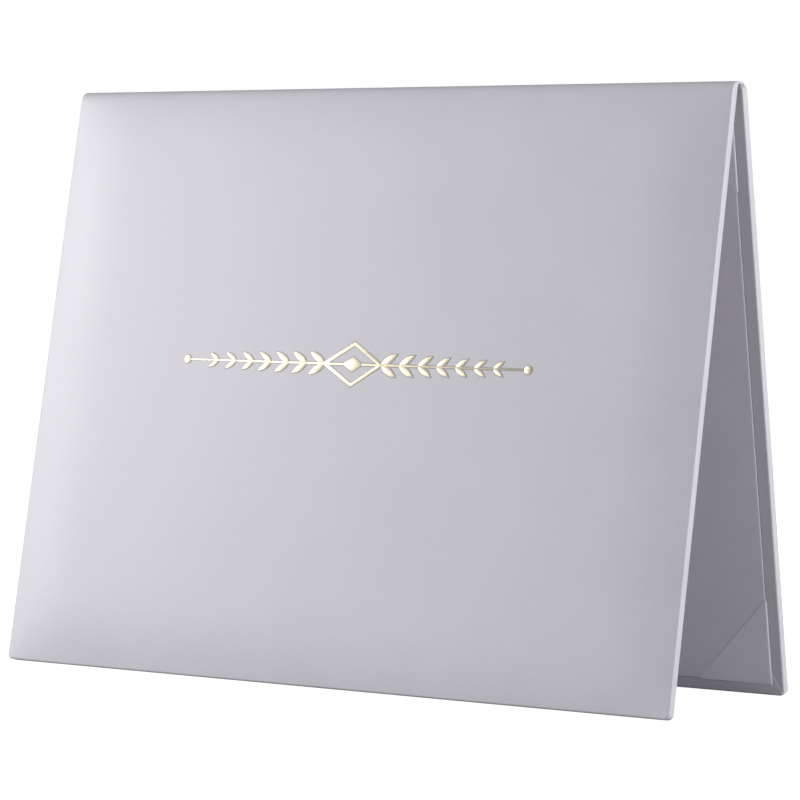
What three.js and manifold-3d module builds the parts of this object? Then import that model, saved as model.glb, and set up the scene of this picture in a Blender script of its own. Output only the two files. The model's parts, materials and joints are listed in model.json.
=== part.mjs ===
// Padded diploma cover, standing open as a tent on its two bottom edges.
// Millimetres, +Z up. The spine runs along X, the front cover leans on the -Y side,
// and the origin is on the floor under the middle of the spine.

import * as THREE from "three";
import { mergeVertices } from "three/addons/utils/BufferGeometryUtils.js";
import Module from "manifold-3d";

const wasm = await Module();
wasm.setup();

// One cover panel, the same in front and at the back
const panelWidth = 298;
const panelHeight = 235;
const cornerRadius = 2;
const edgeRound = 0.8;
const tentHalfAngle = THREE.MathUtils.degToRad(11);

// Layers of a panel, from the outside in
const skinThickness = 0.5;
const foamEdgeThickness = 0.6;
const boardThickness = 2;
const layerGap = 0.15;

// The foam lifts the outer face into a soft crown with a flat middle
const crownHeight = 2.2;
const crownReach = 32;
const crownCornerSpread = 0.6;
const leastRound = 0.2;
const leastRadius = 0.5;
const crownSteps = 6;
const cornerSteps = 5;

// The sheet turned over the edges to the inside, and the flaps of the hinge lining
const turnInWidth = 15;
const flapThickness = 0.4;
const flapReach = 18;

// Lining panels inside the covers
const linerThickness = 0.8;
const linerEdgeInset = 5;
const linerSpineInset = 8;

// Corner pockets folded round the corners of the back lining panel
const pocketThickness = 0.3;
const pocketLeg = 35;

// The spine between the two folds
const closingClearance = 0.4;
const spineSkinRise = 0.6;
const spineLiningThickness = 0.4;
const spineArcSteps = 8;

// Gold foil ornament on the front cover
const foilThickness = 0.15;
const foilLength = 158;
const foilRuleWidth = 1.1;
const foilTipWidth = 0.5;
const foilLozengeLength = 28;
const foilLozengeHeight = 18;
const foilLineWidth = 1.4;
const foilLeafPairs = 7;
const foilLeafLength = 8.5;
const foilLeafWidth = 2.9;
const foilLeafLean = THREE.MathUtils.degToRad(32);
const foilLeafShrink = 0.42;
const foilLeafBellyShare = 0.45;
const foilCoreShare = 1 / 3;
const foilCurveSegments = 5;
const foilEndRadius = 1.7;
const foilHeightShare = 0.47;

// Sizes that follow from the ones above
const foamLevel = skinThickness + layerGap;
const boardLevel = foamLevel + foamEdgeThickness + layerGap;
const turnInLevel = boardLevel + boardThickness + layerGap;
const edgeThickness = turnInLevel + skinThickness;
const frontLinerLevel = edgeThickness + layerGap;
const pocketLevel = edgeThickness + layerGap;
const backLinerLevel = pocketLevel + pocketThickness + layerGap;
const pocketTopLevel = backLinerLevel + linerThickness + layerGap + pocketThickness;
const frontStack = frontLinerLevel + linerThickness;
const spineWidth = frontStack + pocketTopLevel + closingClearance;
const footLevel = edgeThickness - edgeRound / 2;
const foldHeight = panelHeight * Math.cos(tentHalfAngle) + footLevel * Math.sin(tentHalfAngle);
const linerWidth = panelWidth - 2 * linerEdgeInset;
const linerBottom = -(panelHeight - linerEdgeInset);
const linerTop = -linerSpineInset;

const finish = {
  leatherette: { color: 0xd6d3da, roughness: 0.5, metalness: 0 },
  lining: { color: 0xa6a2aa, roughness: 0.75, metalness: 0 },
  pocket: { color: 0xb0adb4, roughness: 0.65, metalness: 0 },
  board: { color: 0x9b968c, roughness: 0.9, metalness: 0 },
  foam: { color: 0xf0ead8, roughness: 0.95, metalness: 0 },
  foil: { color: 0xdfc98b, roughness: 0.25, metalness: 1 },
};

// A closed geometry becomes a solid for cutting and joining, and turns back again
function toSolid(geometry) {
  const bare = geometry.index ? geometry.toNonIndexed() : geometry.clone();
  bare.deleteAttribute("normal");
  bare.deleteAttribute("uv");
  const merged = mergeVertices(bare);
  return new wasm.Manifold(
    new wasm.Mesh({
      numProp: 3,
      vertProperties: new Float32Array(merged.attributes.position.array),
      triVerts: new Uint32Array(merged.index.array),
    }),
  );
}

function toGeometry(solid) {
  const mesh = solid.getMesh();
  const geometry = new THREE.BufferGeometry();
  geometry.setAttribute("position", new THREE.BufferAttribute(mesh.vertProperties, 3));
  geometry.setIndex(new THREE.BufferAttribute(mesh.triVerts, 1));
  geometry.computeVertexNormals();
  return geometry;
}

function makeMesh(name, geometry, look) {
  const mesh = new THREE.Mesh(geometry, new THREE.MeshStandardMaterial(look));
  mesh.name = name;
  return mesh;
}

// A block between two corners of the panel's own frame: x along the spine,
// y from the outer face inwards, z down from the fold as negative heights
function blockBetween([x0, y0, z0], [x1, y1, z1]) {
  const geometry = new THREE.BoxGeometry(x1 - x0, y1 - y0, z1 - z0);
  geometry.translate((x0 + x1) / 2, (y0 + y1) / 2, (z0 + z1) / 2);
  return geometry;
}

// Points of a rounded rectangle, the panel's outline moved in by inset, at depth y
function outlineRing(inset, radius, y) {
  const halfWidth = panelWidth / 2 - inset;
  const halfHeight = panelHeight / 2 - inset;
  const points = [];
  for (let corner = 0; corner < 4; corner += 1) {
    const signX = corner === 0 || corner === 3 ? 1 : -1;
    const signZ = corner < 2 ? 1 : -1;
    for (let step = 0; step <= cornerSteps; step += 1) {
      const angle = ((corner + step / cornerSteps) * Math.PI) / 2;
      const x = signX * (halfWidth - radius) + radius * Math.cos(angle);
      const z = signZ * (halfHeight - radius) + radius * Math.sin(angle);
      points.push(new THREE.Vector3(x, y, z - panelHeight / 2));
    }
  }
  return points;
}

// A closed skin over rings of equal length, each flat ring at the ends capped by a fan
function skinRings(rings) {
  const count = rings[0].length;
  const positions = rings.flat().flatMap((point) => point.toArray());
  const index = [];
  for (let ring = 0; ring + 1 < rings.length; ring += 1) {
    for (let i = 0; i < count; i += 1) {
      const next = (i + 1) % count;
      const a = ring * count + i;
      const b = ring * count + next;
      const c = (ring + 1) * count + next;
      const d = (ring + 1) * count + i;
      index.push(a, b, c, a, c, d);
    }
  }
  const last = (rings.length - 1) * count;
  for (let i = 1; i + 1 < count; i += 1) {
    index.push(0, i + 1, i);
    index.push(last, last + i, last + i + 1);
  }
  const geometry = new THREE.BufferGeometry();
  geometry.setAttribute("position", new THREE.Float32BufferAttribute(positions, 3));
  geometry.setIndex(index);
  return geometry;
}

// Rise of the padded face at a distance in from the panel's edge
function crownRise(distance) {
  const left = 1 - Math.min(distance / crownReach, 1);
  return crownHeight * (1 - left * left);
}

// The padded panel's body: its outside moved in by offset, closed at innerLevel inside
function paddedBody(offset, innerLevel) {
  const round = Math.max(edgeRound - offset, leastRound);
  const radius = Math.max(cornerRadius - offset, leastRadius);
  const rings = [
    outlineRing(offset + round, radius, innerLevel),
    outlineRing(offset, radius, innerLevel - round / 2),
    outlineRing(offset, radius, offset + round),
  ];
  for (let step = 0; step <= crownSteps; step += 1) {
    const inset = edgeRound + ((crownReach - edgeRound) * step) / crownSteps;
    const spread = radius + crownCornerSpread * inset;
    rings.push(outlineRing(offset + inset, spread, offset - crownRise(inset)));
  }
  return skinRings(rings);
}

// Leatherette over the padded face and three edges, turned in, and open at the fold
function wrapGeometry() {
  const half = panelWidth / 2;
  const past = skinThickness + edgeRound;
  const outside = toSolid(paddedBody(0, edgeThickness));
  const inside = toSolid(paddedBody(skinThickness, turnInLevel));
  const window = toSolid(
    blockBetween(
      [-half + turnInWidth, turnInLevel - layerGap, -panelHeight + turnInWidth],
      [half - turnInWidth, edgeThickness + past, past],
    ),
  );
  const foldSide = toSolid(
    blockBetween([-half + past, foamLevel, -past], [half - past, edgeThickness - skinThickness, past]),
  );
  return toGeometry(outside.subtract(inside).subtract(window).subtract(foldSide));
}

function foamGeometry() {
  return paddedBody(foamLevel, foamLevel + foamEdgeThickness);
}

function boardGeometry() {
  return skinRings([
    outlineRing(foamLevel, cornerRadius, boardLevel + boardThickness),
    outlineRing(foamLevel, cornerRadius, boardLevel),
  ]);
}

function hingeFlapGeometry() {
  const half = panelWidth / 2 - turnInWidth - layerGap;
  const level = edgeThickness - flapThickness;
  return blockBetween([-half, level, -flapReach], [half, edgeThickness, -edgeRound]);
}

function linerGeometry(level) {
  return blockBetween(
    [-linerWidth / 2, level, linerBottom],
    [linerWidth / 2, level + linerThickness, linerTop],
  );
}

// A folded triangle over one corner of the back lining panel: a front and a rear face
// joined by the two folds, open along the slant where the sheet goes in
function pocketGeometry(signX, signZ) {
  const out = layerGap + pocketThickness;
  const cornerX = (signX * linerWidth) / 2;
  const cornerZ = signZ > 0 ? linerTop : linerBottom;
  const points = [
    new THREE.Vector2(cornerX + signX * out, cornerZ + signZ * out),
    new THREE.Vector2(cornerX - signX * pocketLeg, cornerZ + signZ * out),
    new THREE.Vector2(cornerX + signX * out, cornerZ - signZ * pocketLeg),
  ];
  const depth = pocketTopLevel - pocketLevel;
  const prism = new THREE.ExtrudeGeometry(new THREE.Shape(points), { depth, bevelEnabled: false });
  prism.rotateX(Math.PI / 2);
  prism.translate(0, pocketTopLevel, 0);
  const xs = [cornerX - signX * (pocketLeg + out), cornerX + signX * layerGap].sort((a, b) => a - b);
  const zs = [cornerZ - signZ * (pocketLeg + out), cornerZ + signZ * layerGap].sort((a, b) => a - b);
  const slot = blockBetween(
    [xs[0], pocketLevel + pocketThickness, zs[0]],
    [xs[1], pocketTopLevel - pocketThickness, zs[1]],
  );
  return toGeometry(toSolid(prism).subtract(toSolid(slot)));
}

// A strip with an arched section, run along X and centred on the spine
function spineSkinGeometry() {
  const halfSpan = spineWidth / 2 - layerGap;
  const base = layerGap + spineLiningThickness + layerGap;
  const upper = [];
  const lower = [];
  for (let step = 0; step <= spineArcSteps; step += 1) {
    const across = -1 + (2 * step) / spineArcSteps;
    const rise = spineSkinRise * (1 - across * across);
    lower.push(new THREE.Vector2(across * halfSpan, base + rise));
    upper.push(new THREE.Vector2(across * halfSpan, base + rise + skinThickness));
  }
  const section = new THREE.Shape([...lower, ...upper.reverse()]);
  const geometry = new THREE.ExtrudeGeometry(section, { depth: panelWidth, bevelEnabled: false });
  geometry.rotateX(Math.PI / 2);
  geometry.rotateZ(Math.PI / 2);
  geometry.translate(-panelWidth / 2, 0, 0);
  return geometry;
}

function spineLiningGeometry() {
  const half = panelWidth / 2 - linerEdgeInset;
  const side = spineWidth / 2 - layerGap;
  return blockBetween([-half, -side, layerGap], [half, side, layerGap + spineLiningThickness]);
}

// The foil's outlines lie in the plane of the panel, x along the spine and y up it
function foilLeafShape(rootX, lean, size) {
  const length = foilLeafLength * size;
  const bulge = (foilLeafWidth * size) / 2;
  const along = new THREE.Vector2(Math.cos(lean), Math.sin(lean));
  const side = new THREE.Vector2(-along.y, along.x);
  const root = new THREE.Vector2(rootX, 0);
  const tip = root.clone().addScaledVector(along, length);
  const middle = root.clone().addScaledVector(along, length * foilLeafBellyShare);
  const left = middle.clone().addScaledVector(side, 2 * bulge);
  const right = middle.clone().addScaledVector(side, -2 * bulge);
  const shape = new THREE.Shape();
  shape.moveTo(root.x, root.y);
  shape.quadraticCurveTo(left.x, left.y, tip.x, tip.y);
  shape.quadraticCurveTo(right.x, right.y, root.x, root.y);
  return shape;
}

function foilRuleShape() {
  const half = foilLength / 2;
  const shape = new THREE.Shape();
  shape.moveTo(-half, -foilTipWidth / 2);
  shape.lineTo(0, -foilRuleWidth / 2);
  shape.lineTo(half, -foilTipWidth / 2);
  shape.lineTo(half, foilTipWidth / 2);
  shape.lineTo(0, foilRuleWidth / 2);
  shape.lineTo(-half, foilTipWidth / 2);
  return shape;
}

function lozenge(path, length, height) {
  path.moveTo(length / 2, 0);
  path.lineTo(0, height / 2);
  path.lineTo(-length / 2, 0);
  path.lineTo(0, -height / 2);
  return path;
}

function foilShapes() {
  const frame = lozenge(new THREE.Shape(), foilLozengeLength, foilLozengeHeight);
  const slope = Math.hypot(foilLozengeLength, foilLozengeHeight) / foilLozengeHeight;
  const cut = 2 * foilLineWidth * slope;
  const inner = lozenge(
    new THREE.Path(),
    foilLozengeLength - cut,
    ((foilLozengeLength - cut) * foilLozengeHeight) / foilLozengeLength,
  );
  frame.holes.push(inner);
  const core = lozenge(
    new THREE.Shape(),
    foilLozengeLength * foilCoreShare,
    foilLozengeHeight * foilCoreShare,
  );
  const shapes = [foilRuleShape(), frame, core];
  for (const side of [-1, 1]) {
    const end = new THREE.Shape();
    end.absarc(side * (foilLength / 2 - foilEndRadius), 0, foilEndRadius, 0, 2 * Math.PI);
    shapes.push(end);
    const first = foilLozengeLength / 2 - foilLineWidth;
    const span = foilLength / 2 - first - foilLeafLength;
    for (let pair = 0; pair < foilLeafPairs; pair += 1) {
      const share = pair / foilLeafPairs;
      const size = 1 - foilLeafShrink * share;
      const rootX = side * (first + span * share);
      const lean = side > 0 ? foilLeafLean : Math.PI - foilLeafLean;
      shapes.push(foilLeafShape(rootX, lean, size));
      shapes.push(foilLeafShape(rootX, -lean, size));
    }
  }
  return shapes;
}

function foilGeometry() {
  const settings = { depth: foilThickness, bevelEnabled: false, curveSegments: foilCurveSegments };
  const pieces = foilShapes().map((shape) => toSolid(new THREE.ExtrudeGeometry(shape, settings)));
  const joined = pieces.reduce((whole, piece) => whole.add(piece));
  const geometry = toGeometry(joined);
  geometry.rotateX(Math.PI / 2);
  geometry.translate(0, -crownHeight - layerGap, -panelHeight * foilHeightShare);
  return geometry;
}

// One panel in its own frame, hung from its fold
function coverPanel(side, linerLevel) {
  const panel = new THREE.Group();
  panel.add(
    makeMesh(`${side}_wrap`, wrapGeometry(), finish.leatherette),
    makeMesh(`${side}_foam`, foamGeometry(), finish.foam),
    makeMesh(`${side}_board`, boardGeometry(), finish.board),
    makeMesh(`${side}_hinge_flap`, hingeFlapGeometry(), finish.lining),
    makeMesh(`${side}_liner`, linerGeometry(linerLevel), finish.lining),
  );
  return panel;
}

function frontCover() {
  const cover = coverPanel("front", frontLinerLevel);
  cover.add(makeMesh("foil_ornament", foilGeometry(), finish.foil));
  cover.position.set(0, -spineWidth / 2, foldHeight);
  cover.rotation.x = -tentHalfAngle;
  return cover;
}

function backCover() {
  const cover = coverPanel("back", backLinerLevel);
  for (const [across, signX] of [["left", 1], ["right", -1]]) {
    for (const [level, signZ] of [["top", 1], ["bottom", -1]]) {
      cover.add(makeMesh(`pocket_${level}_${across}`, pocketGeometry(signX, signZ), finish.pocket));
    }
  }
  cover.position.set(0, spineWidth / 2, foldHeight);
  cover.rotation.set(tentHalfAngle, 0, Math.PI);
  return cover;
}

function spine() {
  const group = new THREE.Group();
  group.add(
    makeMesh("spine_skin", spineSkinGeometry(), finish.leatherette),
    makeMesh("spine_lining", spineLiningGeometry(), finish.lining),
  );
  group.position.z = foldHeight;
  return group;
}

const diplomaCover = new THREE.Group();
diplomaCover.add(frontCover(), spine(), backCover());

export default diplomaCover;
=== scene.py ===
"""Looks of a padded diploma cover that stands open as a tent on its bottom edges.

Every piece is worked out in millimetres on a cover panel, as x along the spine, v down
the panel from its fold, and depth from the outer face inwards, then set into the frame.
"""

import json
import math

import bmesh
import bpy
import numpy as np
from mathutils import Matrix, Vector


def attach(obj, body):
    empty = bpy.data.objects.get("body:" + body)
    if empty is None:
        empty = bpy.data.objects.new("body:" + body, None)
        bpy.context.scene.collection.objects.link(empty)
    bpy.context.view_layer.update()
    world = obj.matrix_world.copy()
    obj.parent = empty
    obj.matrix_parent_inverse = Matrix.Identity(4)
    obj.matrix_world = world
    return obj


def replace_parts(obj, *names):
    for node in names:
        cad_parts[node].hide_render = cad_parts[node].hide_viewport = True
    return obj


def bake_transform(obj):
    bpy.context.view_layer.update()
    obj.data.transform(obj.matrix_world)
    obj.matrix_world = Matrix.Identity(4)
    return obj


MM = 0.001

# Panel sizes, in millimetres
WIDTH = 298.0
HEIGHT = 235.0
EDGE = 4.05
CROWN = 2.2
REACH = 32.0
SWELL_POWER = 2.6
WAVE_HEIGHT = 0.03
FACE_CORNER = 1.3
SKIN = 0.5

# Rim of the leatherette, in millimetres, and shares of its depth
OUTER_ROUND = 0.8
INNER_ROUND = 0.7
OUTER_MOST = 0.45
INNER_MOST = 0.35
OUTER_STEPS = 5
INNER_STEPS = 4
EDGE_RINGS = (0.33, 0.67)
TURNED_UNDER = 0.9

# Turned-in margins, in millimetres
TURN_IN = 15.0
FLAP_START = 4.0
FLAP_SINK = 0.02
HEM_LIFT = 0.1
SHEET_ROUND = 0.1
MITRE_RUN = 7.5
MITRE_LINE = 0.5
# The CUT values place pale strips along the mitre cuts, painted highlights where the cut edges catch the
# light
CUT_FROM_SIDE = 0.3
CUT_FROM_FOOT = 0.4
CUT_END = (0.2, 0.3)
CUT_LIFT = 0.07
CUT_ROUND = 0.05

# Spine, in millimetres
SPINE_TOP = 0.4
SPINE_EDGE = 1.0
ROLL_END = 6.0
ROLL_TOP_PULL = 5.6
ROLL_FACE_PULL = 5.2
SLOPE_STEP = 0.5
ROLL_ROWS = 22
ROLL_CROWDING = 1.5
TUCK_DEPTH = 2.0
TUCK_PLACE = 0.43
TUCK_SPREAD = 0.07
TUCK_RINGS = 3
ARCH_TOP_PULL = 1.9
ARCH_FACE_PULL = 4.8

# Hinge lining, in millimetres
HINGE_SHEET = 0.2
HINGE_LIFT = 0.1
FLAP_REACH = 18.0
END_LIFT = 0.01
END_REACH = 9.0
HINGE_STEP = 5.0
ARCH_POINTS = 17
STRAIGHT_POINTS = 5

# Layers inside the covers, in millimetres
PAD_TOP = 0.6
PAD_BASE = 1.25
PAD_FROM_FOLD = 7.0
PAD_FROM_SKIN = 0.35
PAD_SHORT = 1.0
LINER = 0.65
LINER_INSET = 5.0
LINER_FROM_FOLD = 8.0
LINER_CORNER = 0.9
LINER_ROUND = 0.3
GAP = 0.04

# Folded pockets, in millimetres
POCKET = 0.17
POCKET_REACH = (30.0, 32.5)
POCKET_BACK = 10.0
POCKET_BULGE = 0.06
POCKET_LEG_STEPS = 12
POCKET_RINGS = 8
BACK_RINGS = (0.4, 1.0)

# Gold ornament, in millimetres
FOIL_CENTRE = 0.47 * HEIGHT
FOIL_LENGTH = 158.0
FOIL_RULE = 1.1
FOIL_TIP = 0.5
FOIL_SINK = 0.04
LOZENGE_LENGTH = 28.0
LOZENGE_HEIGHT = 18.0
LOZENGE_LINE = 1.4
CORE_DIVIDER = 6
LEAF_PAIRS = 7
LEAF_LENGTH = 8.5
LEAF_WIDTH = 2.9
LEAF_BELLY = 0.45
LEAF_LEAN = math.radians(32)
LEAF_SHRINK = 0.42
LEAF_POINTS = 9
END_RADIUS = 1.7
END_POINTS = 20

# Shares of a raised shape's rim: how far in, and how high, its middle ring lies
RIM_PLACE = 0.3
RIM_RISE = 0.7

# Flat sheets: shares of how far in the foot lies and where the edge starts, and the
# steps of the rounded rim
FOOT_INSET = 0.3
FOOT_RISE = 0.12
SLAB_STEPS = 4

# Spacing of points from an edge inwards, then an even step, in millimetres
FINE_NEAR = (0, 0.35, 0.8, 1.4, 2.2, 3.4, 5, 7, 10, 14, 19, 25)
FINE_STEP = 5.5
COARSE_NEAR = (0, 2, 5, 9, 14, 20, 27)
COARSE_STEP = 14

# Distances in metres under which points are merged
MERGE = 1e-7
POCKET_MERGE = 2e-6

# Pebbles of the leatherette for each metre, and their disorder from 0 to 1
GRAIN_SCALE = 1250
GRAIN_DISORDER = 0.9

# Camera at the photo's angle, level with the cover and shifted to frame it
CAMERA_AZIMUTH = math.radians(33.058)
CAMERA_ELEVATION = math.radians(0.0225)
CAMERA_ROLL = math.radians(0.8856)
CAMERA_PLACE = (0.709532, -1.163301, 0.159433)
SENSOR_WIDTH = 36
CAMERA_FAR = 20
FOCAL_PIXELS = 3466.6
CENTRE_PIXELS = (291.66, 271.36)
PHOTO_PIXELS = 800

# Floor and surroundings
FLOOR_REACH = 6000
FLOOR_DARK = (0.50, 0.50, 0.50)
FLOOR_LIGHT = (0.52, 0.52, 0.52)
FLOOR_GLOW = 0.95
WORLD_COLOUR = (0.96, 0.97, 1.0, 1.0)
WORLD_LIGHT = 0.275
WHITE = (1.0, 1.0, 1.0, 1.0)

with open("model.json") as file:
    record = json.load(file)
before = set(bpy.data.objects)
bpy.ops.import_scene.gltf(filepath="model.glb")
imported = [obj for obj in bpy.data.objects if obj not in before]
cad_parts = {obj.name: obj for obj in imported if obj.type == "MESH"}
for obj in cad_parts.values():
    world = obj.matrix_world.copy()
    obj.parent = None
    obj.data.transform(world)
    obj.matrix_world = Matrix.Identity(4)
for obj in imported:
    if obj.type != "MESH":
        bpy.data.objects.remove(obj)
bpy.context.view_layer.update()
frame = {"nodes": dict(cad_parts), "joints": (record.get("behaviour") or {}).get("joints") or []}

JOINTS = {joint["name"]: joint for joint in frame["joints"]}
FRONT, BACK = -1, 1
COVER = {FRONT: "front_cover", BACK: "back_cover"}
FOLD_HEIGHT = JOINTS["front_fold"]["pos_m"][2] / MM
HALF_SPINE = abs(JOINTS["front_fold"]["pos_m"][1]) / MM
TILT = math.radians(-JOINTS["front_fold"]["range_deg"][0])


def on_panel(side, x, v, depth):
    """Points of a panel: out from the middle by half the spine, down the slope by v,
    and back along the slope's normal by depth. Any shapes that numpy can match."""
    x, v, depth = np.broadcast_arrays(x, v, depth)
    y = side * (HALF_SPINE + v * math.sin(TILT) - depth * math.cos(TILT))
    z = FOLD_HEIGHT - v * math.cos(TILT) - depth * math.sin(TILT)
    return np.stack([x, y, z], axis=-1).astype(float)


def inward(side):
    """Unit normal of a panel that points inside the tent."""
    return np.array([0.0, -side * math.cos(TILT), -math.sin(TILT)])


def downward(side):
    """Unit direction down the panel, away from its fold."""
    return np.array([0.0, side * math.sin(TILT), -math.cos(TILT)])


def swell(distance):
    """0 at an edge, rising steeply and then gently to 1 at the crown's reach and beyond:
    1 minus a power of what is left of the reach."""
    return 1 - (1 - np.clip(distance / REACH, 0, 1)) ** SWELL_POWER


def face_depth(x, v):
    """Depth of the padded outer face: the crown times the swell from all four edges, with
    three slow waves, together under a tenth of a millimetre, for the soft foam."""
    from_side = WIDTH / 2 - OUTER_ROUND - np.abs(x)
    shape = swell(from_side) * swell(v) * swell(HEIGHT - OUTER_ROUND - v)
    waves = np.sin(x / 31 + v / 47) + np.sin(x / 53 - v / 29 + 1.3) + np.sin(v / 41 + 0.6)
    return -(CROWN + WAVE_HEIGHT * waves) * shape


def stepped(length, near, step):
    """Distances from 0 to length, close together near both ends and even between."""
    near = np.array(near, float)
    middle = np.linspace(near[-1], length - near[-1], max(3, int((length - 2 * near[-1]) / step)))
    return np.concatenate([near[:-1], middle, (length - near[:-1])[::-1]])


def cubic(start, start_pull, end_pull, end, shares):
    """Cubic curves from start to end, for t in shares: (1 - t)^3 of the start, 3 (1 - t)^2 t
    and 3 (1 - t) t^2 of the two pulls, and t^3 of the end."""
    t = shares[:, None, None]
    ends = (1 - t) ** 3 * start + t**3 * end
    return ends + 3 * (1 - t) ** 2 * t * start_pull + 3 * (1 - t) * t**2 * end_pull


def quadratic(start, pull, end, t):
    """Points of a quadratic curve: (1 - t)^2 of the start, 2 (1 - t) t of the pull and t^2
    of the end."""
    return (1 - t) ** 2 * start + 2 * (1 - t) * t * pull + t * t * end


def add_object(name, points, faces, smooth_angle=None):
    """A mesh object at the origin from points in millimetres and lists of corner numbers."""
    mesh = bpy.data.meshes.new(name)
    mesh.from_pydata((np.asarray(points).reshape(-1, 3) * MM).tolist(), [], faces)
    mesh.polygons.foreach_set("use_smooth", np.ones(len(mesh.polygons), bool))
    if smooth_angle:
        mesh.set_sharp_from_angle(angle=math.radians(smooth_angle))
    mesh.update()
    obj = bpy.data.objects.new(name, mesh)
    bpy.context.scene.collection.objects.link(obj)
    return obj


def outwards(obj):
    """Merges doubles and turns all faces of a closed mesh outwards."""
    work = bmesh.new()
    work.from_mesh(obj.data)
    bmesh.ops.remove_doubles(work, verts=work.verts, dist=MERGE)
    bmesh.ops.recalc_face_normals(work, faces=work.faces)
    work.to_mesh(obj.data)
    work.free()
    return obj


def joined(pieces):
    """Several mesh objects as one, which is the first of them."""
    work = bmesh.new()
    for piece in pieces:
        work.from_mesh(piece.data)
    work.to_mesh(pieces[0].data)
    work.free()
    for piece in pieces[1:]:
        spare = piece.data
        bpy.data.objects.remove(piece)
        bpy.data.meshes.remove(spare)
    return pieces[0]


def grid_faces(rows, columns, start=0, flip=False):
    """Quads of a grid whose points are numbered row by row from start."""
    number = start + np.arange(rows * columns).reshape(rows, columns)
    quads = [number[:-1, :-1], number[:-1, 1:], number[1:, 1:], number[1:, :-1]]
    if flip:
        quads = quads[::-1]
    return np.stack(quads, axis=-1).reshape(-1, 4).tolist()


def ring_faces(rings, count):
    """Quads between closed rings of count points each, numbered ring by ring."""
    faces = []
    for ring in range(rings - 1):
        here = ring * count + np.arange(count)
        beyond = ring * count + np.roll(np.arange(count), -1)
        faces += np.stack([here, beyond, beyond + count, here + count], axis=-1).tolist()
    return faces


def thicken(obj, thickness, offset=-1.0):
    """Gives a sheet its thickness in millimetres, behind its faces or, with an offset of
    0, to both sides. Its rim is then a sharp edge."""
    solid = obj.modifiers.new("thickness", "SOLIDIFY")
    solid.thickness = thickness * MM
    solid.offset = offset
    settle(obj)
    obj.data.set_sharp_from_angle(angle=math.radians(60))


def settle(obj):
    """Makes the result of an object's modifiers its own mesh."""
    bpy.context.view_layer.update()
    shaped = obj.evaluated_get(bpy.context.evaluated_depsgraph_get())
    mesh = bpy.data.meshes.new_from_object(shaped)
    obj.modifiers.clear()
    obj.data = mesh


class Value:
    """A shader number: sums and products of it add Math nodes."""

    def __init__(self, nodes, socket):
        self.nodes = nodes
        self.socket = socket

    def combine(self, operation, other):
        node = self.nodes.node("ShaderNodeMath", {"operation": operation}, {0: self, 1: other})
        return Value(self.nodes, node.outputs[0])

    def __add__(self, other):
        return self.combine("ADD", other)

    __radd__ = __add__

    def __mul__(self, other):
        return self.combine("MULTIPLY", other)

    __rmul__ = __mul__


class Nodes:
    """A node tree, and the one way in which nodes are added to it."""

    def __init__(self, tree):
        self.tree = tree

    def node(self, kind, settings=None, inputs=None):
        """Adds one node: its settings first, then the values or links of its sockets."""
        node = self.tree.nodes.new(kind)
        for key, value in (settings or {}).items():
            if key == "stops":
                self.set_stops(node.color_ramp, value)
            else:
                setattr(node, key, value)
        for key, value in (inputs or {}).items():
            source = value.socket if isinstance(value, Value) else value
            if isinstance(source, bpy.types.NodeSocket):
                self.tree.links.new(source, node.inputs[key])
            else:
                node.inputs[key].default_value = source
        return node

    @staticmethod
    def set_stops(ramp, stops):
        """Gives a colour ramp its stops, each a position and a colour."""
        while len(ramp.elements) < len(stops):
            ramp.elements.new(0.5)
        for element, (position, colour) in zip(ramp.elements, stops):
            element.position = position
            element.color = (*colour, 1.0)


class Finish(Nodes):
    """A procedural material: one principled shader and the nodes that feed it."""

    def __init__(self, name, **constants):
        self.material = bpy.data.materials.new(name)
        self.material.use_nodes = True
        super().__init__(self.material.node_tree)
        self.shader = self.tree.nodes["Principled BSDF"]
        for socket, value in constants.items():
            self.shader.inputs[socket.replace("_", " ")].default_value = value
        self.place = self.node("ShaderNodeTexCoord").outputs["Object"]

    def noise(self, scale, detail=3.0, roughness=0.5, distortion=0.0):
        """Fractal noise on the object's own place, scale in waves per metre."""
        inputs = {"Vector": self.place, "Scale": scale, "Detail": detail}
        inputs |= {"Roughness": roughness, "Distortion": distortion}
        return Value(self, self.node("ShaderNodeTexNoise", {}, inputs).outputs["Fac"])

    def cells(self, scale, feature, randomness=1.0):
        """Voronoi distances on the object's own place, scale in cells per metre."""
        inputs = {"Vector": self.place, "Scale": scale, "Randomness": randomness}
        node = self.node("ShaderNodeTexVoronoi", {"feature": feature}, inputs)
        return Value(self, node.outputs["Distance"])

    def ramp(self, factor, *stops):
        """Colours that change with a factor from 0 to 1."""
        return self.node("ShaderNodeValToRGB", {"stops": stops}, {"Fac": factor}).outputs["Color"]

    def feed(self, socket, value):
        """Links a value or an output to one of the shader's sockets."""
        source = value.socket if isinstance(value, Value) else value
        self.tree.links.new(source, self.shader.inputs[socket])

    def bump(self, height, distance, strength):
        """Bump of a height from 0 to 1, distance in millimetres."""
        inputs = {"Height": height, "Distance": distance * MM, "Strength": strength}
        self.feed("Normal", self.node("ShaderNodeBump", {}, inputs).outputs["Normal"])


def leatherette_finish():
    """Pale lilac-grey coated cloth: pebbled grain, satin, with slow shifts of tone."""
    finish = Finish("leatherette", Specular_IOR_Level=0.42)
    grain = finish.cells(GRAIN_SCALE, "F1", GRAIN_DISORDER)
    creases = finish.noise(2600, 2.0, 0.6)
    cloud = finish.noise(24, 3.0, 0.55)
    finish.feed("Base Color", finish.ramp(
        cloud * 0.75 + grain * 0.25,
        (0.25, (0.560, 0.546, 0.588)),
        (0.75, (0.605, 0.591, 0.633)),
    ))
    finish.feed("Roughness", cloud * 0.10 + creases * 0.12 + 0.34)
    finish.bump(grain * 0.65 + creases * 0.35, 0.045, 0.55)
    return finish.material


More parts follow.
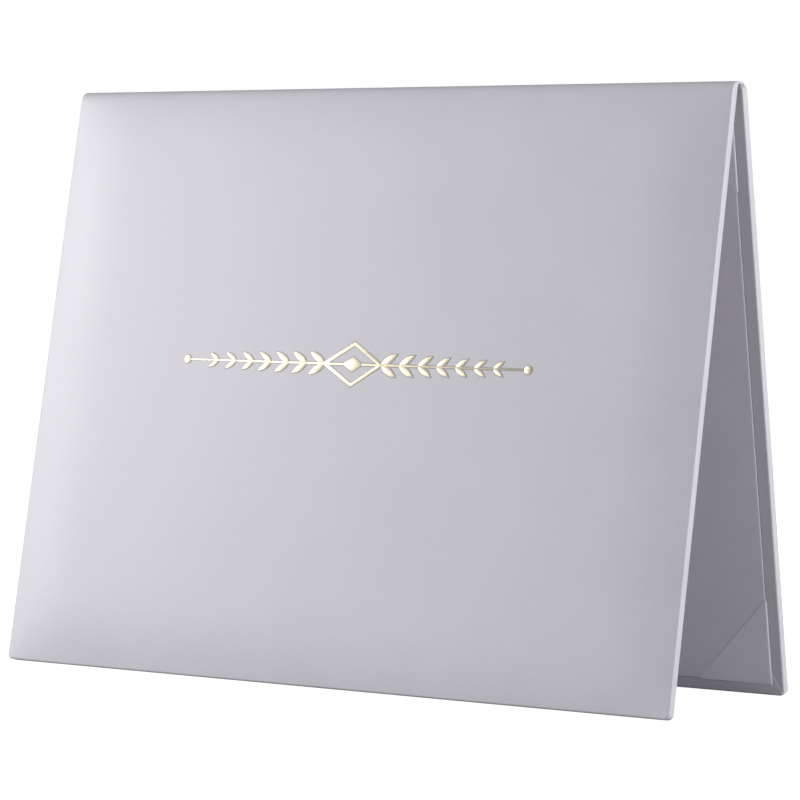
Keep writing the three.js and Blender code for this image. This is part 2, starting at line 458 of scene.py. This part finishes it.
def lining_finish():
    """Matt grey lining paper over card: short fibres and a faint mottle."""
    finish = Finish("lining_paper", Specular_IOR_Level=0.3)
    fibres = finish.noise(900, 4.0, 0.65, 0.4)
    mottle = finish.noise(60, 4.0, 0.6)
    finish.feed("Base Color", finish.ramp(
        mottle * 0.7 + fibres * 0.3,
        (0.3, (0.655, 0.635, 0.695)),
        (0.7, (0.705, 0.685, 0.740)),
    ))
    finish.feed("Roughness", fibres * 0.2 + 0.58)
    finish.bump(fibres * 0.7 + mottle * 0.3, 0.04, 0.5)
    return finish.material


def pocket_finish():
    """Smoother coated paper of the folded pockets, a little lighter than the lining."""
    finish = Finish("pocket_paper", Specular_IOR_Level=0.45)
    fibres = finish.noise(1200, 3.0, 0.6)
    mottle = finish.noise(45, 3.0, 0.5)
    finish.feed("Base Color", finish.ramp(
        mottle,
        (0.3, (0.705, 0.690, 0.760)),
        (0.7, (0.745, 0.735, 0.800)),
    ))
    finish.feed("Roughness", fibres * 0.16 + 0.38)
    finish.bump(fibres, 0.02, 0.4)
    return finish.material


def foil_finish():
    """Pressed gold foil, pale, with the grain of the leatherette showing through."""
    finish = Finish("gold_foil", Metallic=1.0)
    grain = finish.cells(GRAIN_SCALE, "F1", GRAIN_DISORDER)
    cloud = finish.noise(90, 3.0, 0.6)
    finish.feed("Base Color", finish.ramp(
        cloud,
        (0.25, (0.580, 0.520, 0.350)),
        (0.50, (0.660, 0.610, 0.450)),
        (0.75, (0.660, 0.560, 0.460)),
    ))
    finish.feed("Roughness", cloud * 0.16 + grain * 0.12 + 0.38)
    finish.bump(grain, 0.04, 0.6)
    return finish.material


def foil_rim_finish():
    """Leatherette in a thin ring round the foil, darker than the rest."""
    finish = Finish("foil_rim_leatherette", Specular_IOR_Level=0.5)
    cloud = finish.noise(300, 3.0, 0.5)
    finish.feed("Base Color", finish.ramp(
        cloud,
        (0.3, (0.330, 0.315, 0.340)),
        (0.7, (0.380, 0.362, 0.390)),
    ))
    finish.feed("Roughness", cloud * 0.2 + 0.3)
    return finish.material


def mitre_highlight_finish():
    """Pale colour for the strips along the mitre cuts, a painted highlight where the cut edges catch the
    light.
    """
    finish = Finish("painted_mitre_highlight", Specular_IOR_Level=0.2)
    speckle = finish.noise(1800, 3.0, 0.6)
    # The pale colour is the painted highlight of the cut edges
    finish.feed("Base Color", finish.ramp(
        speckle,
        (0.3, (0.80, 0.78, 0.82)),
        (0.7, (0.88, 0.86, 0.90)),
    ))
    finish.feed("Roughness", speckle * 0.2 + 0.7)
    return finish.material


def board_finish():
    """Grey binding board with darker and lighter fibres."""
    finish = Finish("grey_board", Specular_IOR_Level=0.2)
    fibres = finish.noise(1500, 5.0, 0.7, 1.0)
    finish.feed("Base Color", finish.ramp(
        fibres,
        (0.35, (0.235, 0.215, 0.185)),
        (0.65, (0.340, 0.315, 0.280)),
    ))
    finish.feed("Roughness", fibres * 0.1 + 0.85)
    finish.bump(fibres, 0.06, 0.7)
    return finish.material


def foam_finish():
    """Open foam, full of small cells."""
    finish = Finish("foam", Specular_IOR_Level=0.1)
    cells = finish.cells(1600, "SMOOTH_F1")
    finish.feed("Base Color", finish.ramp(
        cells,
        (0.2, (0.700, 0.640, 0.500)),
        (0.7, (0.830, 0.780, 0.650)),
    ))
    finish.feed("Roughness", cells * 0.1 + 0.85)
    finish.bump(cells, 0.1, 0.7)
    return finish.material


LEATHERETTE = leatherette_finish()
LINING = lining_finish()
POCKET_PAPER = pocket_finish()
FOIL = foil_finish()
FOIL_RIM = foil_rim_finish()
# Painted highlight for the mitre cuts
MITRE_HIGHLIGHT = mitre_highlight_finish()
BOARD = board_finish()
FOAM = foam_finish()


def dress(obj, material):
    """Gives a piece its material."""
    obj.data.materials.clear()
    obj.data.materials.append(material)
    return obj


def bend_over_fold(obj, side):
    """Bakes a sheet's transform into its mesh, the same for both sides."""
    if side == FRONT:
        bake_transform(obj)
    else:
        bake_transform(obj)
    return obj


def roll_over(side, x, shares):
    """The sheet from the spine's middle over the fold onto the face, a cubic curve with
    one pull along the spine's top and one up the panel's face, for each x."""
    up_the_face = ROLL_END - SLOPE_STEP
    top = np.stack([x, np.zeros_like(x), np.full_like(x, FOLD_HEIGHT + SPINE_TOP)], axis=-1)
    top_pull = top + np.array([0.0, side * ROLL_TOP_PULL, 0.0])
    face = on_panel(side, x, ROLL_END, face_depth(x, np.full_like(x, ROLL_END)))
    above = on_panel(side, x, up_the_face, face_depth(x, np.full_like(x, up_the_face)))
    face_pull = face + (above - face) * (ROLL_FACE_PULL / SLOPE_STEP)
    return cubic(top, top_pull, face_pull, face, shares)


def arch(side, x, shares, lift=0.0):
    """The inner side of the bend, a cubic curve from under the spine's middle to the
    panel's inner face, for each x. lift moves it further into the tent."""
    top_height = FOLD_HEIGHT + SPINE_TOP - SPINE_EDGE - lift
    landing = on_panel(side, x, ROLL_END, EDGE + lift)
    top = np.stack([x, np.zeros_like(x), np.full_like(x, top_height)], axis=-1)
    top_pull = top + np.array([0.0, side * ARCH_TOP_PULL, 0.0])
    face_pull = landing - downward(side) * ARCH_FACE_PULL
    return cubic(top, top_pull, face_pull, landing, shares)


def round_corner(out_x, out_v, radius):
    """Shares of a square corner, 1 at its edges, moved onto a quarter disc: each times the
    root of 1 minus half the other's square."""
    u = np.clip(1 - out_x / radius, 0, 1)
    w = np.clip(1 - out_v / radius, 0, 1)
    return u * np.sqrt(1 - w * w / 2), w * np.sqrt(1 - u * u / 2)


def face_grid():
    """Places x and v of the face's points, on a grid that is closer near its edges and
    coarser down the upper half. Both foot corners are moved onto quarter discs. Also
    gives where those corners are, and their shares out to the side and to the foot."""
    span = WIDTH - 2 * OUTER_ROUND
    length = HEIGHT - OUTER_ROUND - ROLL_END
    down = stepped(length, FINE_NEAR, FINE_STEP)
    keep = (down >= length / 2) | (np.arange(len(down)) % 2 == 0)
    x, v = np.meshgrid(stepped(span, FINE_NEAR, FINE_STEP) - span / 2, ROLL_END + down[keep])
    side_left = span / 2 - np.abs(x)
    foot_left = HEIGHT - OUTER_ROUND - v
    u, w = round_corner(side_left, foot_left, FACE_CORNER)
    corner = (side_left < FACE_CORNER) & (foot_left < FACE_CORNER)
    x = np.where(corner, np.sign(x) * (span / 2 - FACE_CORNER * (1 - u)), x)
    v = np.where(corner, HEIGHT - OUTER_ROUND - FACE_CORNER * (1 - w), v)
    return x, v, corner, u, w


def rim_ways(side, rows, x, corner, u, w):
    """Unit directions out of the sheet's three edges, for a grid of rows that ends in the
    face's: sideways, down the panel at the foot, and between the two round a corner.
    They are 0 away from the rim."""
    ways = np.zeros((rows, x.shape[1], 3))
    ways[:, 0] = [-1.0, 0.0, 0.0]
    ways[:, -1] = [1.0, 0.0, 0.0]
    ways[-1, 1:-1] = downward(side)
    sideways = u[..., None] * np.sign(x)[..., None] * np.array([1.0, 0.0, 0.0])
    mixed = sideways + w[..., None] * downward(side)
    turned = np.zeros_like(corner)
    turned[:, [0, -1]] = True
    turned[-1] = True
    turned &= corner
    ways[rows - len(x):][turned] = mixed[turned]
    lengths = np.linalg.norm(ways, axis=-1, keepdims=True)
    return ways / np.maximum(lengths, 1e-9)


def rim_rings(thick):
    """How far out and how deep each ring of the rim lies: a quarter round from the face,
    a straight edge, a quarter round to the inside, and a last ring turned under. thick
    is the sheet's depth at each point of the rim, and a thin rim has smaller rounds."""
    outer = np.minimum(OUTER_ROUND, OUTER_MOST * thick)
    inner = np.minimum(INNER_ROUND, INNER_MOST * thick)
    rings = []
    for angle in np.linspace(0, math.pi / 2, OUTER_STEPS + 1)[1:]:
        rings.append((OUTER_ROUND * math.sin(angle), outer * (1 - math.cos(angle))))
    for part in EDGE_RINGS:
        rings.append((OUTER_ROUND, outer + part * (thick - outer - inner)))
    for angle in np.linspace(0, math.pi / 2, INNER_STEPS + 1):
        out = OUTER_ROUND - INNER_ROUND * (1 - math.cos(angle))
        rings.append((out, thick - inner * (1 - math.sin(angle))))
    rings.append((OUTER_ROUND - INNER_ROUND - TURNED_UNDER, thick))
    return rings


def skin_sheet(side):
    """One half of the leatherette: the roll over the fold and the padded face on a grid,
    then rings that go round the three edges to the inside. The back half's ends have a
    tuck, a short groove where the sheet was creased. Returns points and faces."""
    x, v, corner, u, w = face_grid()
    shares = np.linspace(0, 1, ROLL_ROWS + 1)[:-1] ** ROLL_CROWDING
    roll = roll_over(side, x[0], shares)
    points = np.concatenate([roll, on_panel(side, x, v, face_depth(x, v))])
    rows, columns = points.shape[:2]
    through = np.full((rows, columns, 3), inward(side) * EDGE)
    through[: len(roll)] = arch(side, x[0], shares) - roll
    thickness = np.linalg.norm(through, axis=-1)
    depth_way = through / thickness[..., None]
    tuck = np.zeros((rows, columns))
    if side == BACK:
        tuck[: len(roll)] = np.exp(-(((shares - TUCK_PLACE) / TUCK_SPREAD) ** 2))[:, None]

    number = np.arange(rows * columns).reshape(rows, columns)
    loop = np.concatenate([number[:, -1], number[-1, -2::-1], number[-2::-1, 0]])
    rim_points = points.reshape(-1, 3)[loop]
    rim_out = rim_ways(side, rows, x, corner, u, w).reshape(-1, 3)[loop]
    rim_in = depth_way.reshape(-1, 3)[loop]
    rim_tuck = TUCK_DEPTH * tuck.reshape(-1)[loop]
    swept = []
    for ring, (out, deep) in enumerate(rim_rings(thickness.reshape(-1)[loop])):
        reach = out - rim_tuck * min(1, (ring + 1) / TUCK_RINGS)
        swept.append(rim_points + rim_out * reach[:, None] + rim_in * deep[:, None])

    faces = grid_faces(rows, columns, flip=side == FRONT)
    before = loop
    for ring in range(len(swept)):
        after = rows * columns + ring * len(loop) + np.arange(len(loop))
        quads = [before[:-1], before[1:], after[1:], after[:-1]]
        if side == BACK:
            quads = quads[::-1]
        faces += np.stack(quads, axis=-1).tolist()
        before = after
    return np.concatenate([points.reshape(-1, 3), *swept]), faces


def make_skin(side, name):
    """Leatherette of one cover and its half of the spine, bent smoothly over the fold."""
    points, faces = skin_sheet(side)
    obj = add_object(name, points, faces)
    thicken(obj, SKIN)
    dress(obj, LEATHERETTE)
    on_spine = (0, side * (HALF_SPINE - 1.5) * MM, (FOLD_HEIGHT + 1.2) * MM)
    on_cover = (0, side * (HALF_SPINE + 0.8) * MM, (FOLD_HEIGHT - 3.0) * MM)
    return bend_over_fold(obj, side)


def mitred(points):
    """Corner directions of a polygon that move all its edges out by one."""
    points = np.asarray(points, float)
    edges = np.roll(points, -1, axis=0) - points
    edges /= np.linalg.norm(edges, axis=1, keepdims=True)
    normals = np.stack([edges[:, 1], -edges[:, 0]], axis=1)
    area = np.sum(points[:, 0] * np.roll(points[:, 1], -1) - points[:, 1] * np.roll(points[:, 0], -1))
    normals *= np.sign(area)
    before = np.roll(normals, 1, axis=0)
    return (normals + before) / (1 + np.sum(normals * before, axis=1, keepdims=True))


def rounded(points, radius, steps=4):
    """A convex polygon with each corner cut to an arc, a quadratic curve from edge to edge."""
    points = np.asarray(points, float)
    result = []
    for before, here, after in zip(np.roll(points, 1, axis=0), points, np.roll(points, -1, axis=0)):
        start = here + (before - here) / np.linalg.norm(before - here) * radius
        end = here + (after - here) / np.linalg.norm(after - here) * radius
        for t in np.linspace(0, 1, steps + 1):
            result.append(quadratic(start, here, end, t))
    return np.array(result)


def slab(name, side, outline, low, high, edge):
    """A flat sheet on a panel: the outline's rings from low to high with a rounded rim,
    closed by a flat face at each end."""
    outline = np.asarray(outline, float)
    spread = mitred(outline)
    levels = [(-edge * FOOT_INSET, low), (0.0, low + (high - low) * FOOT_RISE)]
    for angle in np.linspace(0, math.pi / 2, SLAB_STEPS + 1):
        levels.append((-edge * (1 - math.cos(angle)), high - edge * (1 - math.sin(angle))))
    rings = []
    for out, depth in levels:
        ring = outline + spread * out
        rings.append(on_panel(side, ring[:, 0], ring[:, 1], depth))
    count = len(outline)
    points = np.concatenate(rings)
    faces = ring_faces(len(rings), count)
    faces.append(list(range(count))[::-1])
    faces.append(list(range(len(points) - count, len(points))))
    return outwards(add_object(name, points, faces, smooth_angle=50))


def make_turn_ins(side, name):
    """The sheet's turned-in margins: two side flaps, and the bottom flap laid over them
    with its ends cut to a mitre."""
    rim = WIDTH / 2 - INNER_ROUND
    inner = WIDTH / 2 - TURN_IN
    foot = HEIGHT - INNER_ROUND
    hem = HEIGHT - TURN_IN
    pieces = []
    for sign in (-1, 1):
        flap = [(sign * rim, FLAP_START), (sign * inner, FLAP_START)]
        flap += [(sign * inner, hem), (sign * rim, foot)]
        pieces.append(slab(name, side, flap, EDGE - SKIN, EDGE - FLAP_SINK, SHEET_ROUND))
    cut = rim - MITRE_RUN
    bottom = [(-rim, foot), (-cut, hem), (cut, hem), (rim, foot)]
    pieces.append(slab(name, side, bottom, EDGE - SKIN, EDGE + HEM_LIFT, SHEET_ROUND))
    flaps = joined(pieces)
    dress(flaps, LEATHERETTE)
    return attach(flaps, COVER[side])


def make_mitre_highlights(side, name):
    """Pale strips along the bottom flap's two cut ends, a painted highlight where the cut edges catch the
    light.
    """
    rim = WIDTH / 2 - INNER_ROUND - CUT_FROM_SIDE
    foot = HEIGHT - INNER_ROUND - CUT_FROM_FOOT
    cut = rim - MITRE_RUN
    hem = HEIGHT - TURN_IN
    pieces = []
    for sign in (-1, 1):
        line = [(sign * rim, foot), (sign * cut, hem), (sign * (cut + MITRE_LINE), hem)]
        line.append((sign * (rim + CUT_END[0]), foot - CUT_END[1]))
        pieces.append(slab(name, side, line, EDGE - SKIN, EDGE + CUT_LIFT, CUT_ROUND))
    cuts = joined(pieces)
    dress(cuts, MITRE_HIGHLIGHT)
    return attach(cuts, COVER[side])


def make_padding(side, name):
    """The foam pad: its top follows the padded face, its base lies on the board."""
    inset = SKIN + GAP + PAD_FROM_SKIN
    x_line = stepped(WIDTH - 2 * inset - 2 * PAD_SHORT, COARSE_NEAR, COARSE_STEP)
    x_line = x_line - x_line[-1] / 2
    v_line = stepped(HEIGHT - inset - PAD_SHORT - PAD_FROM_FOLD, COARSE_NEAR, COARSE_STEP)
    x, v = np.meshgrid(x_line, PAD_FROM_FOLD + v_line)
    top = on_panel(side, x, v, face_depth(x, v) + PAD_TOP)
    base = on_panel(side, x, v, PAD_BASE)
    rows, columns = x.shape
    under = rows * columns
    faces = grid_faces(rows, columns) + grid_faces(rows, columns, under, flip=True)
    number = np.arange(rows * columns).reshape(rows, columns)
    loop = np.concatenate([number[0, :-1], number[:-1, -1], number[-1, :0:-1], number[:0:-1, 0]])
    beyond = np.roll(loop, -1)
    faces += np.stack([loop, loop + under, beyond + under, beyond], axis=-1).tolist()
    points = np.concatenate([top.reshape(-1, 3), base.reshape(-1, 3)])
    pad = outwards(add_object(name, points, faces, smooth_angle=60))
    dress(pad, FOAM)
    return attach(pad, COVER[side])


def hinge_strip(side, name, x_from, x_to, lift, reach):
    """A strip inside the bend: down the arch, then straight on along the inner face."""
    x_line = np.linspace(x_from, x_to, max(4, int((x_to - x_from) / HINGE_STEP)))
    curve = arch(side, x_line, np.linspace(0, 1, ARCH_POINTS), lift)
    rest = np.linspace(ROLL_END, reach, STRAIGHT_POINTS)[1:]
    straight = on_panel(side, x_line[None, :], rest[:, None], EDGE + lift)
    points = np.concatenate([curve, straight])
    obj = add_object(name, points, grid_faces(len(points), len(x_line), flip=side == BACK))
    thicken(obj, HINGE_SHEET)
    return obj


def make_hinge_lining(side, name):
    """The spine's inner strip and, over its ends, the sheet's turned-in ends."""
    half = WIDTH / 2
    middle = hinge_strip(side, name, LINER_INSET - half, half - LINER_INSET, HINGE_LIFT, FLAP_REACH)
    right = hinge_strip(side, name, half - TURN_IN, half - INNER_ROUND, END_LIFT, END_REACH)
    left = hinge_strip(side, name, INNER_ROUND - half, TURN_IN - half, END_LIFT, END_REACH)
    obj = joined([middle, right, left])
    dress(obj, LEATHERETTE)
    on_spine = (0, side * 0.3 * MM, (FOLD_HEIGHT + 0.4) * MM)
    on_cover = (0, side * 2.4 * MM, (FOLD_HEIGHT - 5.0) * MM)
    return bend_over_fold(obj, side)


def make_lining(side, name):
    """A lining panel: card wrapped in paper, its corners and rim slightly soft. The back
    one lies over the pockets' back flaps."""
    half = WIDTH / 2 - LINER_INSET
    foot = HEIGHT - LINER_INSET
    corners = [(-half, LINER_FROM_FOLD), (half, LINER_FROM_FOLD), (half, foot), (-half, foot)]
    low = EDGE + GAP
    if side == BACK:
        low += POCKET + GAP
    panel = slab(name, side, rounded(corners, LINER_CORNER), low, low + LINER, LINER_ROUND)
    dress(panel, LINING)
    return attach(panel, COVER[side])


def make_pocket(name, sign, top):
    """A corner pocket: one sheet folded round the back lining panel's corner. Rings cover
    its front triangle from the mouth to the two legs, turn round a half circle at both
    legs and end in the back flaps. The front bulges a little in its middle."""
    low = EDGE + GAP + POCKET / 2
    high = low + POCKET + 2 * GAP + LINER
    radius = (high - low) / 2
    corner_x = sign * (WIDTH / 2 - LINER_INSET)
    corner_v = LINER_FROM_FOLD if top else HEIGHT - LINER_INSET
    way = np.array([-sign, 1 if top else -1])
    reach = np.array(POCKET_REACH)
    along = np.linspace(1, 0, POCKET_LEG_STEPS + 1)
    legs = np.stack([np.append(along, 0 * along[1:]), np.append(0 * along, along[::-1][1:])], axis=1)
    down = np.linspace(1, 0, len(legs))
    mouth = np.stack([down, 1 - down], axis=1)
    rings = []
    for share in np.linspace(1, 0, POCKET_RINGS + 1):
        spot = legs * (1 - share) + mouth * share
        lift = POCKET_BULGE * (4 * spot[:, 0] * spot[:, 1]) ** 2
        rings.append((spot * reach, high + lift))
    for angle in np.linspace(0, math.pi, POCKET_RINGS + 1)[1:]:
        rings.append((legs * reach - radius * math.sin(angle), low + radius + radius * math.cos(angle)))
    for inset in BACK_RINGS:
        rings.append((legs * (reach - 2 * POCKET_BACK * inset) + POCKET_BACK * inset, low))
    points = []
    for spot, depth in rings:
        place = np.array([corner_x, corner_v]) + way * spot
        points.append(on_panel(BACK, place[:, 0], place[:, 1], depth))
    obj = add_object(name, np.concatenate(points), grid_faces(len(rings), len(legs)))
    work = bmesh.new()
    work.from_mesh(obj.data)
    bmesh.ops.remove_doubles(work, verts=work.verts, dist=POCKET_MERGE)
    work.to_mesh(obj.data)
    work.free()
    front_face = max(obj.data.polygons, key=lambda face: np.dot(face.center, inward(BACK)))
    if np.dot(front_face.normal, inward(BACK)) < 0:
        obj.data.flip_normals()
    thicken(obj, POCKET, offset=0.0)
    dress(obj, POCKET_PAPER)
    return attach(obj, COVER[BACK])


def leaf_outline(root, lean, size):
    """A leaf from its root along a lean, with a quadratic curve up each side."""
    length = LEAF_LENGTH * size
    along = np.array([math.cos(lean), math.sin(lean)])
    across = np.array([-along[1], along[0]])
    start = np.array([root, 0.0])
    tip = start + along * length
    belly = start + along * length * LEAF_BELLY
    bulge = across * LEAF_WIDTH * size
    t = np.linspace(0, 1, LEAF_POINTS)[:, None]
    left = quadratic(start, belly + bulge, tip, t)
    right = quadratic(tip, belly - bulge, start, t)
    return np.concatenate([left[:-1], right[:-1]])


def ornament_outlines():
    """Outlines of the gold ornament that have no hole, x along and height up the panel:
    the rule, the lozenge's core, the round ends and the leaves."""
    half = FOIL_LENGTH / 2
    tip, rule = FOIL_TIP / 2, FOIL_RULE / 2
    outlines = [np.array([(-half, -tip), (0, -rule), (half, -tip), (half, tip), (0, rule), (-half, tip)])]
    core = np.array([(LOZENGE_LENGTH / CORE_DIVIDER, 0), (0, LOZENGE_HEIGHT / CORE_DIVIDER)])
    outlines.append(np.concatenate([core, -core]))
    turn = np.linspace(0, 2 * math.pi, END_POINTS + 1)[:-1]
    first = LOZENGE_LENGTH / 2 - LOZENGE_LINE
    span = half - first - LEAF_LENGTH
    for sign in (-1, 1):
        end = np.stack([END_RADIUS * np.cos(turn), END_RADIUS * np.sin(turn)], 1)
        outlines.append(end + [sign * (half - END_RADIUS), 0])
        for pair in range(LEAF_PAIRS):
            share = pair / LEAF_PAIRS
            size = 1 - LEAF_SHRINK * share
            lean = LEAF_LEAN if sign > 0 else math.pi - LEAF_LEAN
            for up in (1, -1):
                outlines.append(leaf_outline(sign * (first + span * share), up * lean, size))
    return outlines


def lozenge_outlines():
    """The lozenge frame's outer and inner outline."""
    outer = np.array([(LOZENGE_LENGTH / 2, 0), (0, LOZENGE_HEIGHT / 2)])
    slope = math.hypot(LOZENGE_LENGTH, LOZENGE_HEIGHT) / LOZENGE_HEIGHT
    shrink = 1 - 2 * LOZENGE_LINE * slope / LOZENGE_LENGTH
    return np.concatenate([outer, -outer]), np.concatenate([outer, -outer]) * shrink


def relief(outline, grow, lift, rim, hole=None):
    """Points and faces of one raised shape on the front face: its outline grown, a rim
    that climbs to the lift, and a cap, or a second rim down to a hole."""
    climb = [(grow, FOIL_SINK), (grow - rim * RIM_PLACE, -lift * RIM_RISE), (grow - rim, -lift)]
    rings = [outline + mitred(outline) * out for out, _ in climb]
    depths = [depth for _, depth in climb]
    if hole is not None:
        rings += [hole - mitred(hole) * out for out, _ in reversed(climb)]
        depths += [depth for _, depth in reversed(climb)]
    count = len(outline)
    points = []
    for ring, depth in zip(rings, depths):
        x = ring[:, 0]
        v = FOIL_CENTRE - ring[:, 1]
        points.append(on_panel(FRONT, x, v, face_depth(x, v) + depth))
    faces = ring_faces(len(rings), count)
    if hole is None:
        faces.append(list(range(len(rings) * count - count, len(rings) * count)))
    return np.concatenate(points), faces


def make_relief(name, grow, lift, rim, material):
    """All shapes of the ornament as one piece with outward faces."""
    points, faces, start = [], [], 0
    shapes = [(outline, None) for outline in ornament_outlines()] + [lozenge_outlines()]
    for outline, hole in shapes:
        some, more = relief(outline, grow, lift, rim, hole)
        faces += [[start + corner for corner in face] for face in more]
        points.append(some)
        start += len(some)
    obj = add_object(name, np.concatenate(points), faces, smooth_angle=40)
    normals = np.array([tuple(face.normal) for face in obj.data.polygons])
    areas = np.array([face.area for face in obj.data.polygons])
    if np.sum((normals @ -inward(FRONT)) * areas) < 0:
        obj.data.flip_normals()
    dress(obj, material)
    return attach(obj, COVER[FRONT])


def add_camera():
    """The photo's camera. away points from the object to it, and the shift puts the
    lens's axis at CENTRE_PIXELS in the frame."""
    away = Vector((
        math.sin(CAMERA_AZIMUTH) * math.cos(CAMERA_ELEVATION),
        -math.cos(CAMERA_AZIMUTH) * math.cos(CAMERA_ELEVATION),
        math.sin(CAMERA_ELEVATION),
    ))
    right = (-away).cross(Vector((0, 0, 1))).normalized()
    up = away.cross(right)
    turned_right = right * math.cos(CAMERA_ROLL) + up * math.sin(CAMERA_ROLL)
    turned_up = up * math.cos(CAMERA_ROLL) - right * math.sin(CAMERA_ROLL)
    data = bpy.data.cameras.new("camera")
    data.sensor_width = SENSOR_WIDTH
    data.lens = FOCAL_PIXELS * data.sensor_width / PHOTO_PIXELS
    data.shift_x = 0.5 - CENTRE_PIXELS[0] / PHOTO_PIXELS
    data.shift_y = CENTRE_PIXELS[1] / PHOTO_PIXELS - 0.5
    data.clip_end = CAMERA_FAR
    camera = bpy.data.objects.new("camera", data)
    turn = Matrix((turned_right, turned_up, away)).transposed()
    camera.matrix_world = Matrix.Translation(CAMERA_PLACE) @ turn.to_4x4()
    bpy.context.scene.collection.objects.link(camera)
    bpy.context.scene.camera = camera


def add_lamp(name, place, target, size, power):
    """A round soft lamp at a place, turned to its target: metres and watts."""
    data = bpy.data.lights.new(name, "AREA")
    data.shape = "DISK"
    data.size = size
    data.energy = power
    lamp = bpy.data.objects.new(name, data)
    way = Vector(target) - Vector(place)
    lamp.matrix_world = Matrix.Translation(place) @ way.to_track_quat("-Z", "Y").to_matrix().to_4x4()
    bpy.context.scene.collection.objects.link(lamp)


def add_floor():
    """A pale floor: the camera sees it lifted to white, and it keeps the soft shadow."""
    reach = FLOOR_REACH
    corners = [(-reach, -reach, 0), (reach, -reach, 0), (reach, reach, 0), (-reach, reach, 0)]
    floor = add_object("floor", corners, [[0, 1, 2, 3]])
    finish = Finish("floor", Roughness=0.9, Specular_IOR_Level=0.1, Emission_Strength=FLOOR_GLOW)
    finish.feed("Base Color", finish.ramp(finish.noise(40), (0.0, FLOOR_DARK), (1.0, FLOOR_LIGHT)))
    finish.feed("Emission Color", finish.node("ShaderNodeLightPath").outputs["Is Camera Ray"])
    floor.data.materials.append(finish.material)


def set_world():
    """Even pale light from all around, and plain white where the camera sees past all."""
    world = bpy.data.worlds.new("studio")
    world.use_nodes = True
    studio = Nodes(world.node_tree)
    around = studio.tree.nodes["Background"]
    around.inputs["Color"].default_value = WORLD_COLOUR
    around.inputs["Strength"].default_value = WORLD_LIGHT
    shown = studio.node("ShaderNodeBackground", {}, {"Color": WHITE, "Strength": 1.0})
    seen = studio.node("ShaderNodeLightPath").outputs["Is Camera Ray"]
    mix = studio.node("ShaderNodeMixShader", {}, {0: seen, 1: around.outputs[0], 2: shown.outputs[0]})
    studio.tree.links.new(mix.outputs[0], studio.tree.nodes["World Output"].inputs["Surface"])
    bpy.context.scene.world = world


front_skin = make_skin(FRONT, "front_leatherette")
back_skin = make_skin(BACK, "back_leatherette")
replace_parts(front_skin, "front_wrap", "spine_skin")
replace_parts(back_skin, "back_wrap")
make_turn_ins(FRONT, "front_turn_ins")
make_turn_ins(BACK, "back_turn_ins")
# Pale strips along the mitre cuts: painted highlights where the cut edges catch the light
make_mitre_highlights(FRONT, "front_mitre_highlights")
make_mitre_highlights(BACK, "back_mitre_highlights")
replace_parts(make_padding(FRONT, "front_padding"), "front_foam")
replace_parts(make_padding(BACK, "back_padding"), "back_foam")
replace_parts(make_hinge_lining(FRONT, "front_hinge_lining"), "front_hinge_flap", "spine_lining")
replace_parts(make_hinge_lining(BACK, "back_hinge_lining"), "back_hinge_flap")
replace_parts(make_lining(FRONT, "front_lining"), "front_liner")
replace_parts(make_lining(BACK, "back_lining"), "back_liner")
for across, sign in (("left", -1), ("right", 1)):
    for level, top in (("top", True), ("bottom", False)):
        pocket = make_pocket(f"folded_pocket_{level}_{across}", sign, top)
        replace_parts(pocket, f"pocket_{level}_{across}")
make_relief("foil_bed", grow=0.32, lift=0.03, rim=0.1, material=FOIL_RIM)
gold = make_relief("gold_foil", grow=0.0, lift=0.14, rim=0.12, material=FOIL)
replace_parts(gold, "foil_ornament")

for node in ("front_board", "back_board"):
    board = frame["nodes"][node]
    board.data.materials.clear()
    board.data.materials.append(BOARD)

add_camera()
add_lamp("left_key", place=(-1.08, -0.88, 0.50), target=(0, -0.02, 0.12), size=0.6, power=16.4)
add_lamp("right_strip", place=(1.4, 0.25, 0.45), target=(0.15, 0.0, 0.15), size=0.5, power=14)
add_lamp("opening_fill", place=(1.75, -0.85, 0.2), target=(0.12, 0.03, 0.1), size=0.8, power=6.3)
add_floor()
set_world()
bpy.context.scene.view_settings.view_transform = "Standard"
